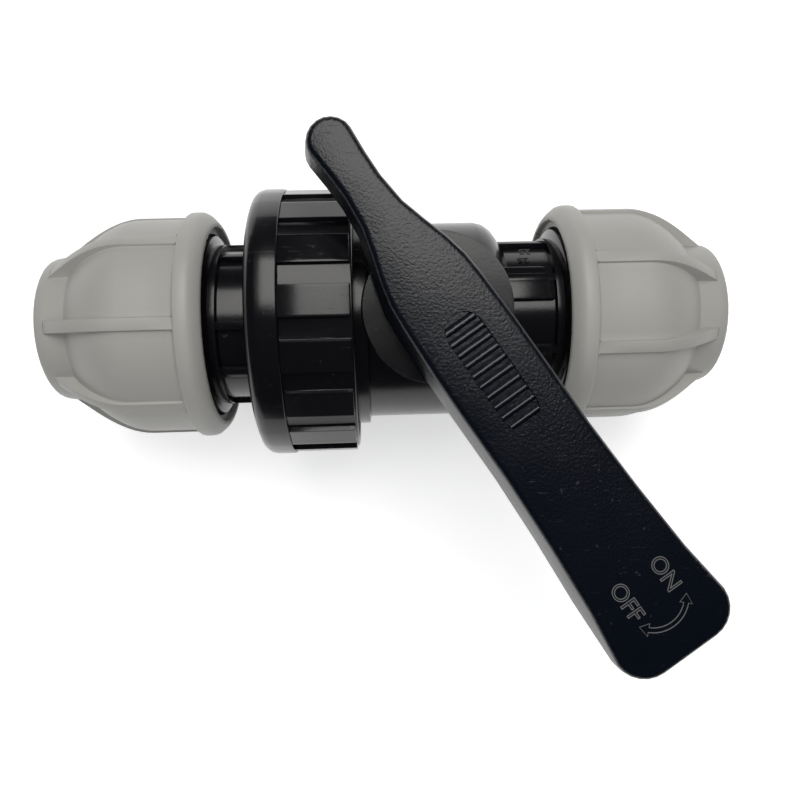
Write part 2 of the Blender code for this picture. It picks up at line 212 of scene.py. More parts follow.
def settle(piece, turnX=0.0, turnZ=0.0):
    # turns the piece to its place and writes that place into its mesh
    freshStart()
    piece.select_set(True)
    bpy.context.view_layer.objects.active = piece
    piece.rotation_euler = (turnX, 0, turnZ)
    bpy.ops.object.transform_apply(location=True, rotation=True, scale=True)
    return piece


def joinInto(piece, others):
    freshStart()
    for other in others:
        other.select_set(True)
    piece.select_set(True)
    bpy.context.view_layer.objects.active = piece
    bpy.ops.object.join()
    return piece


def applyModifier(piece, kind, **values):
    freshStart()
    piece.select_set(True)
    bpy.context.view_layer.objects.active = piece
    modifier = piece.modifiers.new(kind.title(), kind)
    for name, value in values.items():
        setattr(modifier, name, value)
    bpy.ops.object.modifier_apply(modifier=modifier.name)
    return piece


def combine(piece, operation, other):
    # Boolean with the other shape, which is used up
    applyModifier(piece, "BOOLEAN", operation=operation, object=other)
    bpy.data.objects.remove(other, do_unlink=True)
    return piece


def roundEdges(piece, width, degrees=35, segments=2):
    return applyModifier(
        piece, "BEVEL", width=width * mm, segments=segments, limit_method="ANGLE",
        angle_limit=math.radians(degrees), harden_normals=False, miter_outer="MITER_ARC",
    )


def mirroredEnd(profile):
    # the same section on the left side
    return [(mirrorAbout - along, radius) for along, radius in profile]


def threadRidge(start, turns, pitch, foot, crest):
    # one helical ridge; foot and crest are radii, and the foot is sunk into its core
    sunk = -0.5 if crest > foot else 0.5
    halfFoot, halfCrest = 1.05, 0.45
    section = [
        (start - halfFoot, foot + sunk), (start + halfFoot, foot + sunk),
        (start + halfFoot, foot), (start + halfCrest, crest),
        (start - halfCrest, crest), (start - halfFoot, foot),
    ]
    ridge = drawOutline("ridge", [(x * mm, 0, r * mm) for x, r in section])
    bpy.ops.object.mode_set(mode="OBJECT")
    steps = round(60 * turns)
    applyModifier(
        ridge, "SCREW", axis="X", angle=fullTurn * turns, screw_offset=pitch * turns * mm,
        steps=steps, render_steps=steps, iterations=1, use_merge_vertices=False,
    )
    bpy.ops.object.mode_set(mode="EDIT")
    bpy.ops.mesh.select_all(action="SELECT")
    bpy.ops.mesh.fill_holes(sides=0)
    closeUp()
    return ridge


def hand(piece, look, body, slot, *nodes, smooth=32):
    # last step of each piece: shading, finish, body and the frame nodes that it stands for
    freshStart()
    piece.select_set(True)
    bpy.context.view_layer.objects.active = piece
    bpy.ops.object.shade_smooth_by_angle(angle=math.radians(smooth))
    piece.data.materials.clear()
    piece.data.materials.append(look)
    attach(piece, body)
    if nodes:
        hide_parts(*nodes)
    return piece


# finishes

print("finishes")


def newGroup(name, inputs, outputs):
    group = bpy.data.node_groups.new(name, "ShaderNodeTree")
    for label, kind, value in inputs:
        socket = group.interface.new_socket(label, in_out="INPUT", socket_type=kind)
        socket.default_value = value
    for label, kind in outputs:
        group.interface.new_socket(label, in_out="OUTPUT", socket_type=kind)
    return group, group.nodes.new("NodeGroupInput"), group.nodes.new("NodeGroupOutput")


def addNoise(tree, vector, scale, detail=3.0, roughness=0.5):
    noise = tree.nodes.new("ShaderNodeTexNoise")
    noise.inputs["Scale"].default_value = scale
    noise.inputs["Detail"].default_value = detail
    noise.inputs["Roughness"].default_value = roughness
    tree.links.new(vector, noise.inputs["Vector"])
    return noise


def addMath(tree, operation, first, second):
    node = tree.nodes.new("ShaderNodeMath")
    node.operation = operation
    for index, value in enumerate((first, second)):
        if isinstance(value, (int, float)):
            node.inputs[index].default_value = value
        else:
            tree.links.new(value, node.inputs[index])
    return node.outputs[0]


def addRange(tree, value, fromLow, fromHigh, toLow, toHigh):
    node = tree.nodes.new("ShaderNodeMapRange")
    node.inputs["From Min"].default_value = fromLow
    node.inputs["From Max"].default_value = fromHigh
    tree.links.new(value, node.inputs["Value"])
    for label, end in (("To Min", toLow), ("To Max", toHigh)):
        if isinstance(end, (int, float)):
            node.inputs[label].default_value = end
        else:
            tree.links.new(end, node.inputs[label])
    return node.outputs["Result"]


def makeMouldedGrain():
    # fine spark texture of the mould, with slow waves where the plastic flowed in
    group, enter, leave = newGroup(
        "mouldedGrain",
        [("Grain Scale", "NodeSocketFloat", 2600.0), ("Grain", "NodeSocketFloat", 0.6),
         ("Flow", "NodeSocketFloat", 0.4)],
        [("Height", "NodeSocketFloat")],
    )
    place = group.nodes.new("ShaderNodeTexCoord").outputs["Object"]
    fine = addNoise(group, place, 2600.0, 2.0, 0.6)
    group.links.new(enter.outputs["Grain Scale"], fine.inputs["Scale"])
    slow = addNoise(group, place, 70.0, 2.0)
    grain = addMath(group, "MULTIPLY", fine.outputs["Fac"], enter.outputs["Grain"])
    flow = addMath(group, "MULTIPLY", slow.outputs["Fac"], enter.outputs["Flow"])
    total = addMath(group, "ADD", grain, flow)
    group.links.new(total, leave.inputs["Height"])
    return group


def makeHandledSurface():
    # colour and roughness that drift slowly, with fine rubbed streaks and specks of dust
    group, enter, leave = newGroup(
        "handledSurface",
        [("Colour", "NodeSocketColor", (0.1, 0.1, 0.1, 1)),
         ("Worn Colour", "NodeSocketColor", (0.2, 0.2, 0.2, 1)),
         ("Roughness", "NodeSocketFloat", 0.4), ("Variation", "NodeSocketFloat", 0.1),
         ("Streaks", "NodeSocketFloat", 0.3), ("Dust", "NodeSocketFloat", 0.3)],
        [("Colour", "NodeSocketColor"), ("Roughness", "NodeSocketFloat"),
         ("Height", "NodeSocketFloat")],
    )
    place = group.nodes.new("ShaderNodeTexCoord").outputs["Object"]
    turnedPlace = group.nodes.new("ShaderNodeMapping")
    turnedPlace.inputs["Rotation"].default_value = (0.3, 0.2, 0.9)
    turnedPlace.inputs["Scale"].default_value = (1.0, 14.0, 6.0)
    group.links.new(place, turnedPlace.inputs["Vector"])
    cloudy = addNoise(group, place, 45.0, 4.0, 0.6)
    streaky = addNoise(group, turnedPlace.outputs["Vector"], 160.0, 3.0, 0.7)
    streakMask = addRange(group, streaky.outputs["Fac"], 0.66, 0.80, 0.0, enter.outputs["Streaks"])
    speck = addNoise(group, place, 900.0, 1.0, 0.4)
    speckMask = addRange(group, speck.outputs["Fac"], 0.74, 0.80, 0.0, enter.outputs["Dust"])
    wornMask = addMath(group, "MAXIMUM", streakMask, speckMask)
    mix = group.nodes.new("ShaderNodeMix")
    mix.data_type = "RGBA"
    group.links.new(wornMask, mix.inputs["Factor"])
    group.links.new(enter.outputs["Colour"], mix.inputs["A"])
    group.links.new(enter.outputs["Worn Colour"], mix.inputs["B"])
    drift = addMath(group, "SUBTRACT", cloudy.outputs["Fac"], 0.5)
    drift = addMath(group, "MULTIPLY", drift, enter.outputs["Variation"])
    rough = addMath(group, "ADD", drift, enter.outputs["Roughness"])
    wornRough = addMath(group, "MULTIPLY", wornMask, 0.25)
    rough = addMath(group, "ADD", rough, wornRough)
    group.links.new(mix.outputs["Result"], leave.inputs["Colour"])
    group.links.new(rough, leave.inputs["Roughness"])
    group.links.new(streakMask, leave.inputs["Height"])
    return group


mouldedGrain = makeMouldedGrain()
handledSurface = makeHandledSurface()

finishes = {
    "bodyBlack": {
        "colour": (0.0035, 0.0036, 0.0048), "worn": (0.05, 0.05, 0.055), "roughness": 0.20,
        "variation": 0.12, "streaks": 0.35, "dust": 0.30, "scale": 1900.0, "grain": 0.25,
        "flow": 1.6, "bump": 0.35, "depth": 0.00012, "specular": 0.5,
    },
    "leverBlack": {
        "colour": (0.0012, 0.0024, 0.0058), "worn": (0.035, 0.038, 0.045), "roughness": 0.30,
        "variation": 0.14, "streaks": 0.35, "dust": 0.40, "scale": 1700.0, "grain": 1.0,
        "flow": 1.2, "bump": 0.55, "depth": 0.00014, "specular": 0.5,
    },
    # lighter grey for the raised letters and arrow, also used as the painted highlight on the thumb-pad
    # ridge crests
    "lighterMarksAndPaintedHighlight": {
        "colour": (0.13, 0.13, 0.135), "worn": (0.20, 0.20, 0.20), "roughness": 0.30,
        "variation": 0.10, "streaks": 0.35, "dust": 0.10, "scale": 1900.0, "grain": 0.3,
        "flow": 0.4, "bump": 0.2, "depth": 0.00008, "specular": 0.5,
    },
    "nutGrey": {
        "colour": (0.335, 0.330, 0.312), "worn": (0.42, 0.41, 0.39), "roughness": 0.46,
        "variation": 0.10, "streaks": 0.15, "dust": 0.15, "scale": 1900.0, "grain": 0.5,
        "flow": 0.8, "bump": 0.25, "depth": 0.00010, "specular": 0.5,
    },
    "gripWhite": {
        "colour": (0.72, 0.71, 0.67), "worn": (0.80, 0.79, 0.75), "roughness": 0.38,
        "variation": 0.08, "streaks": 0.1, "dust": 0.1, "scale": 1600.0, "grain": 0.3,
        "flow": 0.6, "bump": 0.2, "depth": 0.00010, "specular": 0.5,
    },
    "seatWhite": {
        "colour": (0.80, 0.80, 0.78), "worn": (0.70, 0.70, 0.68), "roughness": 0.50,
        "variation": 0.10, "streaks": 0.3, "dust": 0.05, "scale": 1200.0, "grain": 0.4,
        "flow": 0.8, "bump": 0.2, "depth": 0.00010, "specular": 0.35,
    },
    "ballWhite": {
        "colour": (0.70, 0.695, 0.66), "worn": (0.60, 0.60, 0.57), "roughness": 0.16,
        "variation": 0.08, "streaks": 0.4, "dust": 0.05, "scale": 1500.0, "grain": 0.1,
        "flow": 0.5, "bump": 0.15, "depth": 0.00010, "specular": 0.5,
    },
    "sealRubber": {
        "colour": (0.018, 0.018, 0.019), "worn": (0.06, 0.06, 0.06), "roughness": 0.58,
        "variation": 0.16, "streaks": 0.2, "dust": 0.5, "scale": 2400.0, "grain": 0.8,
        "flow": 0.5, "bump": 0.3, "depth": 0.00010, "specular": 0.4,
    },
}


def makeFinish(name):
    look = finishes[name]
    made = bpy.data.materials.new(name)
    made.use_nodes = True
    tree = made.node_tree
    shader = tree.nodes["Principled BSDF"]
    surface = tree.nodes.new("ShaderNodeGroup")
    surface.node_tree = handledSurface
    surface.inputs["Colour"].default_value = (*look["colour"], 1)
    surface.inputs["Worn Colour"].default_value = (*look["worn"], 1)
    surface.inputs["Roughness"].default_value = look["roughness"]
    surface.inputs["Variation"].default_value = look["variation"]
    surface.inputs["Streaks"].default_value = look["streaks"]
    surface.inputs["Dust"].default_value = look["dust"]
    grain = tree.nodes.new("ShaderNodeGroup")
    grain.node_tree = mouldedGrain
    grain.inputs["Grain Scale"].default_value = look["scale"]
    grain.inputs["Grain"].default_value = look["grain"]
    grain.inputs["Flow"].default_value = look["flow"]
    bump = tree.nodes.new("ShaderNodeBump")
    bump.inputs["Strength"].default_value = look["bump"]
    bump.inputs["Distance"].default_value = look["depth"]
    height = addMath(tree, "SUBTRACT", grain.outputs["Height"], surface.outputs["Height"])
    tree.links.new(height, bump.inputs["Height"])
    tree.links.new(surface.outputs["Colour"], shader.inputs["Base Color"])
    tree.links.new(surface.outputs["Roughness"], shader.inputs["Roughness"])
    tree.links.new(bump.outputs["Normal"], shader.inputs["Normal"])
    shader.inputs["Specular IOR Level"].default_value = look["specular"]
    return made


looks = {name: makeFinish(name) for name in finishes}


# compression nuts

print("compression nuts")

nut = {
    "ribs": 8, "ribHalf": 1.35, "flange": 26.45, "body": 24.9, "collar": 17.1, "mouth": 13.6,
    "bore": 21.6, "tip": 2.5, "crestStart": 17.0, "crestRise": 8.45, "crestLevel": 20.0,
    "domeStart": 7.0, "domeEnd": 21.0, "coneStart": 21.7, "coneWide": 17.25, "coneEnd": 14.25,
    "leftTurn": 3.5, "rightTurn": -24.5, "columns": 6, "edge": 0.18, "pitch": 4.0,
    "notch": {"radius": 22.4, "half": 0.5, "tall": 1.0, "depth": 1.2, "angle": 6},
}


def nutSection():
    front, mouth = rightFront, rightMouth
    dome = []
    for step in range(11):
        # bulges up from the collar to the straight body
        share = step / 10
        along = mouth - nut["domeStart"] - (nut["domeEnd"] - nut["domeStart"]) * share
        bulge = math.sin(math.pi / 2 * share) ** 0.85
        dome.append((along, nut["collar"] + (nut["body"] - nut["collar"]) * bulge))
    dome.reverse()
    outside = [
        (front - nutLip, 23.9), (front - nutLip + 0.25, 24.35), (front - 1.0, 25.45),
        (front - 0.2, 26.1), (front + 0.4, 26.38), (front + 1.0, nut["flange"]),
        (front + 2.6, nut["flange"]), (front + 3.1, 26.2), (front + 3.45, nut["body"]),
        (front + 9.5, nut["body"]),
    ]
    collar = [
        (mouth - nut["tip"], 16.85), (mouth - 1.0, 16.6), (mouth - 0.3, 16.3), (mouth, 15.8),
    ]
    inside = [
        (mouth, 13.9), (mouth - 0.4, nut["mouth"]), (mouth - 2.0, 13.3), (mouth - 2.0, nut["coneEnd"]),
        (front + nut["coneStart"], nut["coneWide"]), (front + nut["coneStart"], 19.0),
        (front + 19.4, nut["bore"]), (front - 0.9, nut["bore"]), (front - 0.9, 22.9),
        (front - nutLip, 23.1),
    ]
    return outside + dome + collar + inside


def crestRadius(along):
    share = (rightMouth - along - nut["tip"]) / (nut["crestLevel"] - nut["tip"])
    return nut["crestStart"] + nut["crestRise"] * math.sin(math.pi / 2 * min(max(share, 0), 1))


def makeNutSector():
    # one eighth of the nut, with its rib in the middle, at the right side
    half = math.radians(180 / nut["ribs"])
    section = nutSection()
    points = [(x * mm, -r * mm * math.sin(half), r * mm * math.cos(half)) for x, r in section]
    sector = drawOutline("nutSector", points)
    bpy.ops.mesh.spin(steps=nut["columns"], angle=2 * half, center=(0, 0, 0), axis=(1, 0, 0))
    bpy.ops.mesh.select_all(action="SELECT")
    bpy.ops.mesh.remove_doubles(threshold=1e-6)
    for side in (-1, 1):
        cutBy((0, side * nut["ribHalf"], 0), (0, 1, 0))
    low, high = rightFront + 3.2, rightMouth - nut["tip"]

    def onRib(middle, normal):
        return abs(middle.y) < nut["ribHalf"] and low < middle.x < high and isOutside(middle)

    selectFaces(onRib)
    bpy.ops.mesh.extrude_region_move(TRANSFORM_OT_translate={"value": (0, 0, 0.0001)})
    mesh = sector.data
    edit = bmesh.from_edit_mesh(mesh)
    stations = sorted({round(p.co.x / mm, 2) for p in edit.verts if p.select})
    raised = {p.index for p in edit.verts if p.select}
    for station in stations:
        levelStation(station, raised)
    softenSharp(nut["edge"])
    return sector


def isOutside(middle):
    # tells the nut's outer faces from its bore by the section's radius there
    radius = math.hypot(middle.y, middle.z)
    fromMouth = rightMouth - middle.x
    return radius > 15.9 + min(max(fromMouth - 5.0, 0) * 0.45, 6.4)


def levelStation(station, raised):
    # brings one row of the raised rib to the height of its crest
    mesh = bpy.context.object.data
    bpy.ops.mesh.select_mode(type="VERT")
    bpy.ops.mesh.select_all(action="DESELECT")
    edit = bmesh.from_edit_mesh(mesh)
    for point in edit.verts:
        point.select_set(point.index in raised and abs(point.co.x / mm - station) < 0.02)
    bmesh.update_edit_mesh(mesh)
    crest = crestRadius(station)
    bpy.ops.transform.resize(value=(1, 1, 0), center_override=(0, 0, crest * mm))


def makeNutShell():
    sector = makeNutSector()
    repeatRound(nut["ribs"])
    closeUp()
    sector.name = "nutShell"
    return sector


def makeGripMarks():
    # short pairs of notches in the rim of the front face
    notch = nut["notch"]
    face = rightFront - nutLip
    marks = []
    for index in range(nut["ribs"]):
        for offset in (-notch["angle"], notch["angle"]):
            angle = math.radians(360 / nut["ribs"] * index + offset)
            low = (face - 0.5, -notch["half"], notch["radius"])
            high = (face + notch["depth"], notch["half"], notch["radius"] + notch["tall"])
            marks.append(settle(block("mark", low, high), turnX=angle))
    return joinInto(marks[0], marks[1:])


def makeNut(side, shell):
    freshStart()
    piece = shell.copy()
    piece.data = shell.data.copy()
    bpy.context.collection.objects.link(piece)
    piece.name = "compressionNut" + side.title()
    node = "nut_" + side
    if side == "left":
        piece.scale = (-1, 1, 1)
        piece.location = (mirrorAbout * mm, 0, 0)
        settle(piece)
        bpy.ops.object.mode_set(mode="EDIT")
        closeUp()
        settle(piece, turnX=math.radians(nut["leftTurn"]))
        start = mirrorAbout - (rightFront + 15.3)
    else:
        settle(piece, turnX=math.radians(nut["rightTurn"]))
        start = rightFront + 3.3
    ridge = threadRidge(start, 3, nut["pitch"], nut["bore"], nut["bore"] - 1.1)
    joinInto(piece, [ridge])
    hand(piece, looks["nutGrey"], side + "_nut", "nut_grey", node)
    return piece


nutShell = makeNutShell()
combine(nutShell, "DIFFERENCE", makeGripMarks())
for nutSide in ("left", "right"):
    makeNut(nutSide, nutShell)
bpy.data.objects.remove(nutShell, do_unlink=True)


# union nut

print("union nut")

union = {
    "blocks": 17, "band": 7.2, "bandRadius": 31.25, "recess": 29.85, "blockTop": 30.75,
    "blockHalf": 3.35, "blockEnd": 0.6, "bore": 28.4, "lip": 22.0, "lipDepth": 5.5,
    "turn": -3.3, "edge": 0.16, "columns": 4, "pitch": 4.0,
}


def makeUnionNut():
    left, right = unionLeft, unionRight
    bandEnd = left + union["band"]
    section = [
        (left, 27.6), (left + 0.25, 28.9), (left + 0.8, 30.1), (left + 1.7, 30.9),
        (left + 3.0, union["bandRadius"]), (bandEnd - 0.1, union["bandRadius"]),
        (bandEnd + 0.15, 31.0), (bandEnd + 0.15, union["recess"]),
        (right - union["blockEnd"], union["recess"]), (right - 0.25, union["recess"]),
        (right, 29.6), (right, union["bore"] + 0.4), (right - 0.4, union["bore"]),
        (left + union["lipDepth"], union["bore"]), (left + union["lipDepth"], union["lip"]),
        (left + 0.4, union["lip"]), (left, union["lip"] + 0.4), (left, 24.6),
        (left + 0.7, 24.9), (left + 0.7, 27.3),
    ]
    half = math.radians(180 / union["blocks"])
    points = [(x * mm, -r * mm * math.sin(half), r * mm * math.cos(half)) for x, r in section]
    piece = drawOutline("unionNut", points)
    bpy.ops.mesh.spin(steps=union["columns"], angle=2 * half, center=(0, 0, 0), axis=(1, 0, 0))
    bpy.ops.mesh.select_all(action="SELECT")
    bpy.ops.mesh.remove_doubles(threshold=1e-6)
    for side in (-1, 1):
        cutBy((0, side * union["blockHalf"], 0), (0, 1, 0))
    low, high = bandEnd + 0.2, right - union["blockEnd"]

    def onBlock(middle, normal):
        flat = abs(middle.y) < union["blockHalf"] and low < middle.x < high
        return flat and middle.z > union["recess"] - 0.6

    selectFaces(onBlock)
    bpy.ops.mesh.extrude_region_move(TRANSFORM_OT_translate={"value": (0, 0, 0.0005)})
    top = union["blockTop"] * mm
    bpy.ops.transform.resize(value=(1, 1, 0), center_override=(0, 0, top))
    softenSharp(union["edge"])
    repeatRound(union["blocks"])
    closeUp()
    settle(piece, turnX=math.radians(union["turn"]))
    ridge = threadRidge(bodyEnd + 3.6, 1.4, union["pitch"], union["bore"], union["bore"] - 1.1)
    joinInto(piece, [ridge])
    return hand(piece, looks["bodyBlack"], "union_ring", "black_gloss", "union_nut")


makeUnionNut()


# valve body and union tail

print("body and tail")

socket = {
    "bore": 12.8, "water": 10.5, "seal": 16.2, "core": 20.2, "collar": 21.0, "neck": 17.5,
    "rib": 18.9, "stop": 3.2, "sealDepth": 4.5, "ribHalf": 0.95, "pitch": 4.0,
}
body = {
    "thread": 27.0, "chamber": 22.9, "ring": 24.5, "cavity": 17.3, "seatPocket": 14.5,
    "carrier": 20.5, "pocketX": 8.7, "seatBack": 14.9, "tower": 12.4, "disc": 15.6,
    "stemBore": 7.0, "stemPocket": 8.5, "stemShoulder": 20.0, "ribs": (23.2, -27.5),
    "plate": (32.3, 57.5), "tailRibs": (-5.4, -39.5),
    "size": {"words": "25", "height": 2.0, "line": 0.1, "x": 21.5, "angle": 47.5, "radius": 18.72},
}


def socketOutside():
    front = rightFront
    return [
        (front - 4.2, socket["neck"]), (front - 3.9, socket["rib"]), (front - 2.4, socket["rib"]),
        (front - 2.1, 20.5), (front - 1.8, socket["collar"]), (front - 1.0, socket["collar"]),
        (front - 0.5, socket["core"]), (socketEnd - 0.6, socket["core"]), (socketEnd, 19.6),
    ]


def socketInside():
    front = rightFront
    return [
        (socketEnd, socket["seal"] + 0.5), (socketEnd - 0.5, socket["seal"]),
        (socketEnd - socket["sealDepth"], socket["seal"]),
        (socketEnd - socket["sealDepth"], socket["bore"]),
        (front - socket["stop"], socket["bore"]), (front - socket["stop"], socket["water"]),
    ]


def neckRibs(first, second, fromX, toX):
    # bars along a neck in four pairs; first and second are the angles of one pair
    ribs = []
    for angle in (first, second):
        for quarter in range(4):
            half = socket["ribHalf"]
            bar = block("bar", (fromX, -half, 15.5), (toX, half, socket["rib"]), soften=0.25)
            ribs.append(settle(bar, turnX=-math.radians(angle + 90 * quarter)))
    return joinInto(ribs[0], ribs[1:])


def curvedPlate(name, fromX, toX, low, high, inner, outer):
    # a piece of pipe wall between two angles, measured from the top towards +Y
    start = math.radians(low)
    section = [(fromX, inner), (toX, inner), (toX, outer), (fromX, outer)]
    points = [(x * mm, r * mm * math.sin(start), r * mm * math.cos(start)) for x, r in section]
    plate = drawOutline(name, points)
    bpy.ops.mesh.spin(steps=8, angle=-math.radians(high - low), center=(0, 0, 0), axis=(1, 0, 0))
    bpy.ops.mesh.select_all(action="SELECT")
    bpy.ops.mesh.remove_doubles(threshold=1e-6)
    bpy.ops.mesh.fill_holes(sides=0)
    closeUp()
    return roundEdges(plate, 0.25)


def outlineSign(words, capHeight, line):
    # plain letters as thin raised outlines, centred on the origin and facing up
    freshStart()
    bpy.ops.object.text_add(location=(0, 0, 0))
    sign = bpy.context.object
    sign.data.body = words
    sign.data.align_x = "CENTER"
    sign.data.align_y = "CENTER"
    sign.data.size = capHeight * 1.4 * mm
    sign.data.fill_mode = "NONE"
    sign.data.bevel_depth = line * mm
    sign.data.bevel_resolution = 1
    sign.data.resolution_u = 5
    bpy.ops.object.convert(target="MESH")
    return bpy.context.object


def writeOnNeck():
    # generic pipe size, upside down as seen with the lever on top
    size = body["size"]
    sign = outlineSign(size["words"], size["height"], size["line"])
    settle(sign, turnZ=math.pi)
    sign.location = (size["x"] * mm, 0, size["radius"] * mm)
    settle(sign)
    return settle(sign, turnX=-math.radians(size["angle"]))


def makeBody():
    front = rightFront
    outside = [
        (bodyEnd, 26.4), (bodyEnd + 0.6, body["thread"]), (unionRight - 2.4, body["thread"]),
        (unionRight - 0.6, body["ring"]), (unionRight + 2.6, body["ring"]),
        (unionRight + 3.0, body["chamber"]), (10.8, body["chamber"]), (12.8, 22.4), (14.4, 21.3),
        (15.6, 19.8), (16.6, 18.2), (17.2, socket["neck"]),
    ]
    inside = [
        (body["seatBack"], socket["water"]), (body["seatBack"], body["seatPocket"]),
        (body["pocketX"], body["seatPocket"]), (body["pocketX"], body["cavity"]),
        (-13.2, body["cavity"]), (-13.2, body["carrier"]), (bodyEnd, body["carrier"]),
        (bodyEnd, 21.9), (bodyEnd + 2.4, 21.9), (bodyEnd + 2.4, 24.5), (bodyEnd, 24.5),
    ]
    piece = turned("valveBody", outside + socketOutside() + socketInside() + inside)
    disc = discTop
    towerSection = [
        (18.5, 0), (18.5, body["tower"]), (disc - 5.0, body["tower"]), (disc - 3.8, 12.9),
        (disc - 2.9, 14.2), (disc - 2.3, body["disc"] - 0.15), (disc - 1.9, body["disc"]),
        (disc - 0.35, body["disc"]), (disc, body["disc"] - 0.35), (disc, 0),
    ]
    combine(piece, "UNION", turned("tower", towerSection, 96, "Z"))
    combine(piece, "UNION", neckRibs(*body["ribs"], 15.2, front - 3.8))
    combine(piece, "UNION", curvedPlate("plate", 15.2, front - 4.3, *body["plate"], 16.5, 18.75))
    bore = [
        (14.5, 0), (14.5, body["stemPocket"]), (body["stemShoulder"], body["stemPocket"]),
        (body["stemShoulder"], body["stemBore"]), (disc + 1, body["stemBore"]), (disc + 1, 0),
    ]
    combine(piece, "DIFFERENCE", turned("stemBore", bore, 64, "Z"))
    ridges = [
        threadRidge(front + 1.3, 4.2, socket["pitch"], socket["core"], socket["core"] + 1.1),
        threadRidge(bodyEnd + 1.6, 1.5, union["pitch"], body["thread"], body["thread"] + 1.1),
    ]
    joinInto(piece, ridges + [writeOnNeck()])
    return hand(piece, looks["bodyBlack"], "body", "black_gloss", "valve_body")


def makeTail():
    face = bodyEnd - 0.3
    flange = unionLeft + union["lipDepth"] + 0.3
    # runs from the flange along the neck to the mouth, back through the bore, and up the face
    section = [(flange - 0.8, socket["neck"])] + mirroredEnd(socketOutside() + socketInside())
    section += [
        (face, socket["water"]), (face, 27.1), (face - 0.4, 27.5), (flange + 0.4, 27.5),
        (flange, 27.1), (flange, 18.6),
    ]
    piece = turned("unionTail", section)
    ribs = neckRibs(*body["tailRibs"], mirrorAbout - (rightFront - 3.8), flange + 1.0)
    combine(piece, "UNION", ribs)
    ridge = threadRidge(
        mirrorAbout - (rightFront + 18.0), 4.2, socket["pitch"], socket["core"], socket["core"] + 1.1
    )
    joinInto(piece, [ridge])
    return hand(piece, looks["bodyBlack"], "tail", "black_gloss", "union_tail")


makeBody()
makeTail()


# lever

print("lever")

lever = {
    "end": 83.0, "tail": -40.9, "tailRadius": 4.6, "endHalf": 12.7, "corner": 6.5, "flare": 1.1,
    "wall": 2.0, "edge": 1.25, "hub": 7.6, "socket": 9.0, "tailLift": 2.5, "endLift": 0.72,
    "halfWidths": [
        (-36.5, 4.5), (-31.0, 4.1), (-26.0, 4.0), (-20.0, 4.6), (-15.0, 6.0), (-10.0, 7.6),
        (-5.0, 8.7), (0.0, 9.1), (10.0, 9.5), (20.0, 9.6), (35.0, 9.6), (50.0, 10.2), (65.0, 11.2),
    ],
    "pad": {
        "from": 3.2, "to": 28.9, "half": 3.9, "depth": 0.45, "margin": 1.0, "ridges": 10, "ridge": 0.4,
        # line: width of the painted highlight bar along each ridge crest
        "line": 0.18,
    },
    "letters": [("ON", 66.8, 4.7, 3.3), ("OFF", 67.0, -4.5, 3.3)], "line": 0.11,
    "arrow": {
        "centre": 69.4, "side": 0.4, "radius": 6.3, "half": 62.0, "headAngle": 17.0, "width": 0.95,
        "head": 1.25,
    },
}


def leverOutline(grow):
    # half of the plan from the tail's tip to the far end, then its mirror image
    corner = lever["corner"]
    upper = []
    tip = lever["tail"] + lever["tailRadius"]
    for angle in (90, 72, 54, 36, 18):
        turn = math.radians(angle)
        radius = lever["tailRadius"] + grow
        upper.append((tip - radius * math.sin(turn), radius * math.cos(turn)))
    upper += [(u, half + grow) for u, half in lever["halfWidths"]]
    centre = (lever["end"] - corner, lever["endHalf"] - corner)
    for step in range(7):
        turn = math.radians(90 - 15 * step)
        reach = corner + grow
        upper.append((centre[0] + reach * math.cos(turn), centre[1] + reach * math.sin(turn)))
    lower = [(u, -v) for u, v in reversed(upper[1:])]
    return upper + lower


def makeLeverShell():
    # top and flared walls as one sheet, which then gets its thickness inwards
    outline = leverOutline(lever["flare"])
    sheet = drawOutline("lever", [(u * mm, v * mm, leverFoot * mm) for u, v in outline])
    bpy.ops.mesh.edge_face_add()
    bpy.ops.mesh.normals_make_consistent(inside=False)
    edit = bmesh.from_edit_mesh(sheet.data)
    if next(iter(edit.faces)).normal.z < 0:
        bpy.ops.mesh.flip_normals()
    height = leverTop - leverFoot
    bpy.ops.mesh.inset(thickness=lever["flare"] * mm, depth=height * mm)
    liftFoot()
    bpy.ops.object.mode_set(mode="OBJECT")
    applyModifier(sheet, "SOLIDIFY", thickness=lever["wall"] * mm, offset=-1, use_even_offset=True)
    bpy.ops.object.mode_set(mode="EDIT")
    selectPoints(lambda place: place.z < leverFoot + 0.01)
    bpy.ops.transform.resize(value=(1, 1, 0), center_override=(0, 0, leverFoot * mm))
    bpy.ops.mesh.select_mode(type="EDGE")
    bpy.ops.mesh.select_all(action="DESELECT")
    edit = bmesh.from_edit_mesh(sheet.data)
    for edge in edit.edges:
        edge.select_set(all(abs(p.co.z / mm - leverTop) < 0.01 for p in edge.verts))
    bmesh.update_edit_mesh(sheet.data)
    bpy.ops.mesh.bevel(offset=lever["edge"] * mm, segments=4, affect="EDGES")
    bpy.ops.object.mode_set(mode="OBJECT")
    return sheet


def liftFoot():
    # raises the lower edge at the narrow tail, over the union nut, and at the far end
    sheet = bpy.context.object
    edit = bmesh.from_edit_mesh(sheet.data)
    edit.verts.ensure_lookup_table()
    top = [p.co.copy() for p in edit.verts if p.co.z / mm > leverTop - 0.01]
    foot = [p.index for p in edit.verts if p.co.z / mm < leverFoot + 0.01]
    moves = []
    for index in foot:
        point = edit.verts[index].co.copy()
        partner = min(top, key=lambda other: (other.xy - point.xy).length)
        u = point.x / mm
        tailShare = min(max((-u - 6.0) / 4.0, 0), 1) * lever["tailLift"] / (leverTop - leverFoot)
        endShare = min(max((u - 66.0) / 12.0, 0), 1) * lever["endLift"]
        share = max(tailShare, endShare)
        if share > 0:
            moves.append((index, (partner - point) * share))
    for index, move in moves:
        bpy.ops.mesh.select_mode(type="VERT")
        bpy.ops.mesh.select_all(action="DESELECT")
        edit = bmesh.from_edit_mesh(sheet.data)
        edit.verts.ensure_lookup_table()
        edit.verts[index].select_set(True)
        bmesh.update_edit_mesh(sheet.data)
        bpy.ops.transform.translate(value=move)


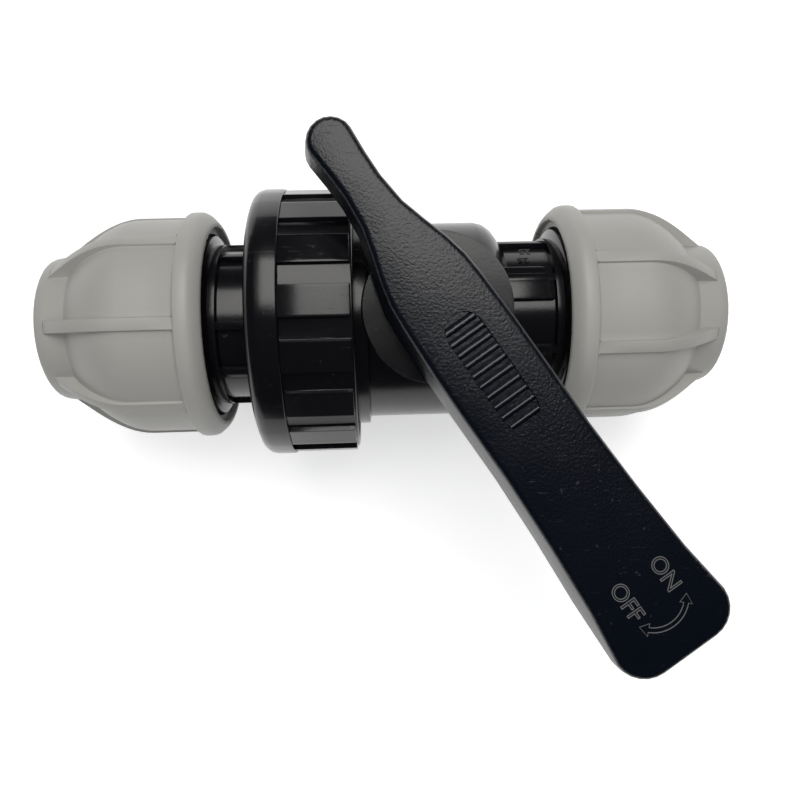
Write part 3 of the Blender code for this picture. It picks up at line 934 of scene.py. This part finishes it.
def stadium(name, fromU, toU, half, low, high):
    # upright prism with two round ends
    points = []
    for centre, start in ((toU - half, -90), (fromU + half, 90)):
        for step in range(13):
            turn = math.radians(start + 180 * step / 12)
            points.append((centre + half * math.cos(turn), half * math.sin(turn)))
    prism = drawOutline(name, [(u * mm, v * mm, low * mm) for u, v in points])
    bpy.ops.mesh.edge_face_add()
    bpy.ops.mesh.extrude_region_move(TRANSFORM_OT_translate={"value": (0, 0, (high - low) * mm)})
    closeUp()
    return prism


def ridgePitch():
    pad = lever["pad"]
    return (pad["to"] - pad["from"] - 2 * pad["margin"]) / pad["ridges"]


def ridgePlaces():
    # where each ridge of the thumb pad stands, and half the pad's width there
    pad = lever["pad"]
    places = []
    for index in range(pad["ridges"]):
        u = pad["from"] + pad["margin"] + ridgePitch() * (index + 0.5)
        past = max(pad["from"] + pad["half"] - u, u - (pad["to"] - pad["half"]), 0)
        places.append((u, math.sqrt(max(pad["half"] ** 2 - past ** 2, 0.3))))
    return places


def makeThumbRidges():
    # low ridges across the thumb pad, as long as the pad is wide there
    pad = lever["pad"]
    floor = leverTop - pad["depth"]
    foot, crest = ridgePitch() * 0.36, ridgePitch() * 0.13
    ridges = []
    for u, width in ridgePlaces():
        reach = width - 0.12
        section = [
            (u - foot, floor - 0.3), (u + foot, floor - 0.3), (u + foot, floor),
            (u + crest, floor + pad["ridge"]), (u - crest, floor + pad["ridge"]), (u - foot, floor),
        ]
        ridge = drawOutline("ridge", [(x * mm, -reach * mm, z * mm) for x, z in section])
        bpy.ops.mesh.edge_face_add()
        bpy.ops.mesh.extrude_region_move(TRANSFORM_OT_translate={"value": (0, 2 * reach * mm, 0)})
        closeUp()
        ridges.append(ridge)
    return ridges


def makeCrestHighlights():
    # painted highlight: a thin lighter bar along the top of each ridge of the thumb pad
    pad = lever["pad"]
    top = leverTop - pad["depth"] + pad["ridge"]
    half = pad["line"] / 2
    lines = []
    for u, width in ridgePlaces():
        reach = width - 0.3
        lines.append(block("line", (u - half, -reach, top - 0.05), (u + half, reach, top + 0.03)))
    return lines


def makeLetters():
    signs = []
    for words, u, v, height in lever["letters"]:
        sign = outlineSign(words, height, lever["line"])
        sign.location = (u * mm, v * mm, (leverTop + 0.02) * mm)
        signs.append(settle(sign))
    return signs


def makeArrow():
    # double-headed arrow on an arc, drawn as one thin raised line round its shape
    arrow = lever["arrow"]
    half, width, head = math.radians(arrow["half"]), arrow["width"] / 2, arrow["head"]
    neck = half - math.radians(arrow["headAngle"])
    steps = 12

    def at(reach, angle):
        return (arrow["centre"] + reach * math.cos(angle), arrow["side"] + reach * math.sin(angle))

    points = []
    for way in (1, -1):
        rise = arrow["radius"] + way * width
        for step in range(steps + 1):
            points.append(at(rise, way * (2 * neck * step / steps - neck)))
        points += [
            at(arrow["radius"] + way * head, way * neck), at(arrow["radius"], way * half),
            at(arrow["radius"] - way * head, way * neck),
        ]
    shape = drawOutline("arrow", [(u * mm, v * mm, (leverTop + 0.02) * mm) for u, v in points])
    bpy.ops.object.mode_set(mode="OBJECT")
    bpy.ops.object.convert(target="CURVE")
    shape = bpy.context.object
    shape.data.bevel_depth = lever["line"] * mm
    shape.data.bevel_resolution = 1
    bpy.ops.object.convert(target="MESH")
    return bpy.context.object


def makeLever():
    piece = makeLeverShell()
    piece.name = "lever"
    hub = turned("hub", [
        (leverFoot, 0), (leverFoot, lever["hub"] - 0.4), (leverFoot + 0.4, lever["hub"]),
        (leverTop - 1.4, lever["hub"]), (leverTop - 1.4, 0),
    ], 64, "Z")
    combine(piece, "UNION", hub)
    half = lever["socket"] / 2
    hole = block("hole", (-half, -half, leverFoot - 1), (half, half, leverTop - 2.9))
    combine(piece, "DIFFERENCE", hole)
    pad = lever["pad"]
    recess = stadium("recess", pad["from"], pad["to"], pad["half"], leverTop - pad["depth"], leverTop + 1)
    combine(piece, "DIFFERENCE", recess)
    joinInto(piece, makeThumbRidges())
    settle(piece, turnZ=leverAngle)
    return hand(piece, looks["leverBlack"], "lever", "black_satin", "handle")


def makeLeverMarks():
    # raised letters and arrow in a lighter grey, with painted highlights along the ridge crests
    arrow = makeArrow()
    marks = joinInto(arrow, makeLetters() + makeCrestHighlights())
    marks.name = "leverMarks"
    settle(marks, turnZ=leverAngle)
    return hand(marks, looks["lighterMarksAndPaintedHighlight"], "lever", "black_satin")


makeLever()
makeLeverMarks()


# ball, stem and what seals them

print("inner pieces")

inner = {
    "ball": 16.5, "stem": 6.5, "stemFlange": 8.2, "stemRings": (22.2, 25.6), "groove": 5.05,
    "square": 8.4, "seatIn": 10.8, "seatOut": 14.2, "seatBack": 14.6, "nose": 17.0, "carrier": 20.1,
}


def makeBall():
    half = math.sqrt(inner["ball"] ** 2 - socket["water"] ** 2)
    start = math.atan2(socket["water"] + 0.5, half - 0.35)
    outside = []
    for step in range(33):
        angle = math.pi - start - (math.pi - 2 * start) * step / 32
        outside.append((inner["ball"] * math.cos(angle), inner["ball"] * math.sin(angle)))
    edge = [(half - 0.2, socket["water"] + 0.1), (half - 0.7, socket["water"])]
    bore = [(-x, r) for x, r in reversed(edge)]
    piece = turned("ball", outside + edge + bore)
    slotBox = block("slot", (-2.6, -9.5, 13.0), (2.6, 9.5, 20.0), soften=0.4)
    combine(piece, "DIFFERENCE", slotBox)
    settle(piece, turnZ=leverAngle)
    return hand(piece, looks["ballWhite"], "lever", "ball_plastic", "ball")


def makeStem():
    shoulder = body["stemShoulder"] - 0.3
    section = [
        (16.9, 0), (16.9, inner["stemFlange"] - 0.3), (17.2, inner["stemFlange"]),
        (shoulder - 0.3, inner["stemFlange"]), (shoulder, inner["stemFlange"] - 0.3),
        (shoulder, inner["stem"]),
    ]
    for height in inner["stemRings"]:
        section += [
            (height - 1.0, inner["stem"]), (height - 1.0, inner["groove"]),
            (height + 1.0, inner["groove"]), (height + 1.0, inner["stem"]),
        ]
    section += [(discTop + 0.2, inner["stem"]), (discTop + 0.6, inner["stem"] - 0.4), (discTop + 0.6, 0)]
    piece = turned("stem", section, 64, "Z")
    combine(piece, "UNION", block("tongue", (-2.3, -7.4, 13.3), (2.3, 7.4, 17.5), soften=0.3))
    half = inner["square"] / 2
    square = block("square", (-half, -half, discTop), (half, half, leverTop - 3.2), soften=0.4)
    combine(piece, "UNION", square)
    settle(piece, turnZ=leverAngle)
    return hand(piece, looks["bodyBlack"], "lever", "black_gloss", "stem")


def makeSeat(name, node, side):
    inside = []
    for step in range(9):
        radius = inner["seatIn"] + (inner["seatOut"] - inner["seatIn"]) * step / 8
        inside.append((side * math.sqrt((inner["ball"] + 0.3) ** 2 - radius ** 2), radius))
    back = [
        (side * (inner["seatBack"] - 0.3), inner["seatOut"]),
        (side * inner["seatBack"], inner["seatOut"] - 0.3),
        (side * inner["seatBack"], inner["seatIn"]),
    ]
    return hand(turned(name, inside + back), looks["seatWhite"], "body", "seat_white", node)


def makeCarrier():
    nose, outer = inner["nose"], inner["carrier"]
    section = [
        (-body["pocketX"], body["seatPocket"]), (-body["pocketX"], nose - 0.3),
        (-body["pocketX"] - 0.3, nose),
        (-10.2, nose), (-10.2, 15.6), (-12.2, 15.6), (-12.2, nose), (-13.5, nose), (-13.5, outer - 0.3),
        (-13.8, outer), (bodyEnd + 2.3, outer), (bodyEnd + 2.0, outer - 0.3),
        (bodyEnd + 2.0, socket["water"]),
        (-body["seatBack"], socket["water"]), (-body["seatBack"], body["seatPocket"]),
    ]
    piece = turned("seatCarrier", section)
    key = block("key", (bodyEnd + 1, -17.5, -2), (bodyEnd + 4.6, 17.5, 2), soften=0.3)
    combine(piece, "DIFFERENCE", key)
    return hand(piece, looks["bodyBlack"], "body", "black_gloss", "seat_carrier")


def makeSealRing(name, node, bodyName, centre, radius, section, axis="X"):
    # round section with the thin flash line that the mould leaves on the outside
    points = []
    for step in range(16):
        angle = fullTurn * step / 16
        flash = 0.035 if step == 4 else 0
        reach = section + flash
        points.append((centre + reach * math.cos(angle), radius + reach * math.sin(angle)))
    piece = turned(name, points, 72, axis)
    return hand(piece, looks["sealRubber"], bodyName, "seal_rubber", node, smooth=60)


def makeBush(name, node, bodyName, side):
    seat = socketEnd - 0.6
    section = [
        (seat, socket["bore"] + 0.3), (seat, 15.6), (seat + 0.3, 15.9), (socketEnd + 0.3, 15.9),
        (socketEnd + 0.3, 18.1), (socketEnd + 0.6, 18.4), (socketEnd + 2.3, 18.4), (socketEnd + 2.6, 18.1),
        (socketEnd + 2.6, socket["bore"] + 0.3), (socketEnd + 2.3, socket["bore"]),
        (seat + 0.3, socket["bore"]),
    ]
    if side == "left":
        section = mirroredEnd(section)
    return hand(turned(name, section), looks["bodyBlack"], bodyName, "black_gloss", node)


def makeGripRing(name, node, bodyName, side):
    start = socketEnd + 2.9
    end = rightMouth - 2.3
    teeth = []
    for index in range(3):
        crest = end - 1.2 - 3.0 * index
        teeth += [(crest, 12.6), (crest - 2.9, 13.2)]
    section = [
        (start, 13.2), (start, 16.6), (start + 0.3, 16.9), (end - 0.3, 13.98), (end, 13.8), (end, 13.2),
    ] + teeth
    if side == "left":
        section = mirroredEnd(section)
    piece = turned(name, section, slit=12)
    return hand(piece, looks["gripWhite"], bodyName, "grip_acetal", node)


makeBall()
makeStem()
makeSeat("seatFixed", "seat_fixed", 1)
makeSeat("seatFront", "seat_front", -1)
makeCarrier()
makeSealRing("carrierRing", "carrier_oring", "body", -11.2, 16.4, 0.7)
makeSealRing("unionFaceRing", "union_face_oring", "body", bodyEnd + 1.1, 23.2, 0.95)
makeSealRing("stemRingLower", "stem_oring_lower", "lever", inner["stemRings"][0], 6.05, 0.75, "Z")
makeSealRing("stemRingUpper", "stem_oring_upper", "lever", inner["stemRings"][1], 6.05, 0.75, "Z")
sealCentre = socketEnd - 2.6
makeSealRing("pipeSealRight", "pipe_oring_right", "body", sealCentre, 14.5, 1.5)
makeSealRing("pipeSealLeft", "pipe_oring_left", "tail", mirrorAbout - sealCentre, 14.5, 1.5)
makeBush("bushRight", "bush_right", "body", "right")
makeBush("bushLeft", "bush_left", "tail", "left")
makeGripRing("gripRingRight", "grip_ring_right", "right_grip", "right")
makeGripRing("gripRingLeft", "grip_ring_left", "left_grip", "left")


# floor, light and camera

print("studio")

studio = {
    "floorDrop": 0.15, "floorSize": 4.0, "floorColour": (0.86, 0.865, 0.87), "floorGlow": 0.45,
    "sky": 0.03, "cameraPlace": (-13.507, -15.279, 168.309), "cameraTurn": (-1.29, -2.204, -1.65),
    "lens": 31.018, "sensor": 36,
    "window": {"place": (0.02, 0.42, 0.75), "size": 0.62, "power": 4.6, "colour": (1.0, 0.985, 0.96)},
    "roomLight": {"place": (0.0, -0.10, 0.80), "size": 1.2, "power": 5.6, "colour": (1, 1, 1)},
}


def makeFloor():
    freshStart()
    height = cadBounds[0].z - studio["floorDrop"] * mm
    bpy.ops.mesh.primitive_plane_add(size=studio["floorSize"], location=(0, 0, height))
    floor = bpy.context.object
    floor.name = "floor"
    paper = bpy.data.materials.new("paper")
    paper.use_nodes = True
    shader = paper.node_tree.nodes["Principled BSDF"]
    shader.inputs["Base Color"].default_value = (*studio["floorColour"], 1)
    shader.inputs["Roughness"].default_value = 0.85
    shader.inputs["Emission Color"].default_value = (1, 1, 1, 1)
    shader.inputs["Emission Strength"].default_value = studio["floorGlow"]
    floor.data.materials.append(paper)


def makeSky():
    # dim grey overhead, and plain white where the camera looks past the floor
    world = bpy.data.worlds.new("sky")
    scene.world = world
    world.use_nodes = True
    tree = world.node_tree
    dim = tree.nodes["Background"]
    dim.inputs["Color"].default_value = (0.92, 0.96, 1.0, 1)
    dim.inputs["Strength"].default_value = studio["sky"]
    seen = tree.nodes.new("ShaderNodeBackground")
    seen.inputs["Color"].default_value = (1, 1, 1, 1)
    seen.inputs["Strength"].default_value = 1.0
    rays = tree.nodes.new("ShaderNodeLightPath")
    mix = tree.nodes.new("ShaderNodeMixShader")
    tree.links.new(rays.outputs["Is Camera Ray"], mix.inputs[0])
    tree.links.new(dim.outputs[0], mix.inputs[1])
    tree.links.new(seen.outputs[0], mix.inputs[2])
    tree.links.new(mix.outputs[0], tree.nodes["World Output"].inputs["Surface"])


def addSoftbox(name):
    # square lamp that faces the origin
    lamp = studio[name]
    light = bpy.data.lights.new(name, "AREA")
    light.shape = "RECTANGLE"
    light.size = light.size_y = lamp["size"]
    light.energy = lamp["power"]
    light.color = lamp["colour"]
    box = bpy.data.objects.new(name, light)
    scene.collection.objects.link(box)
    box.location = lamp["place"]
    box.rotation_euler = (-Vector(lamp["place"])).to_track_quat("-Z", "Y").to_euler()
    return box


def makeCamera():
    data = bpy.data.cameras.new("camera")
    data.lens = studio["lens"]
    data.sensor_width = studio["sensor"]
    data.clip_start = 0.005
    camera = bpy.data.objects.new("camera", data)
    scene.collection.objects.link(camera)
    camera.location = [v * mm for v in studio["cameraPlace"]]
    camera.rotation_euler = [math.radians(v) for v in studio["cameraTurn"]]
    scene.camera = camera


makeFloor()
makeSky()
addSoftbox("window")
addSoftbox("roomLight").visible_glossy = False
makeCamera()
scene.view_settings.view_transform = "Standard"
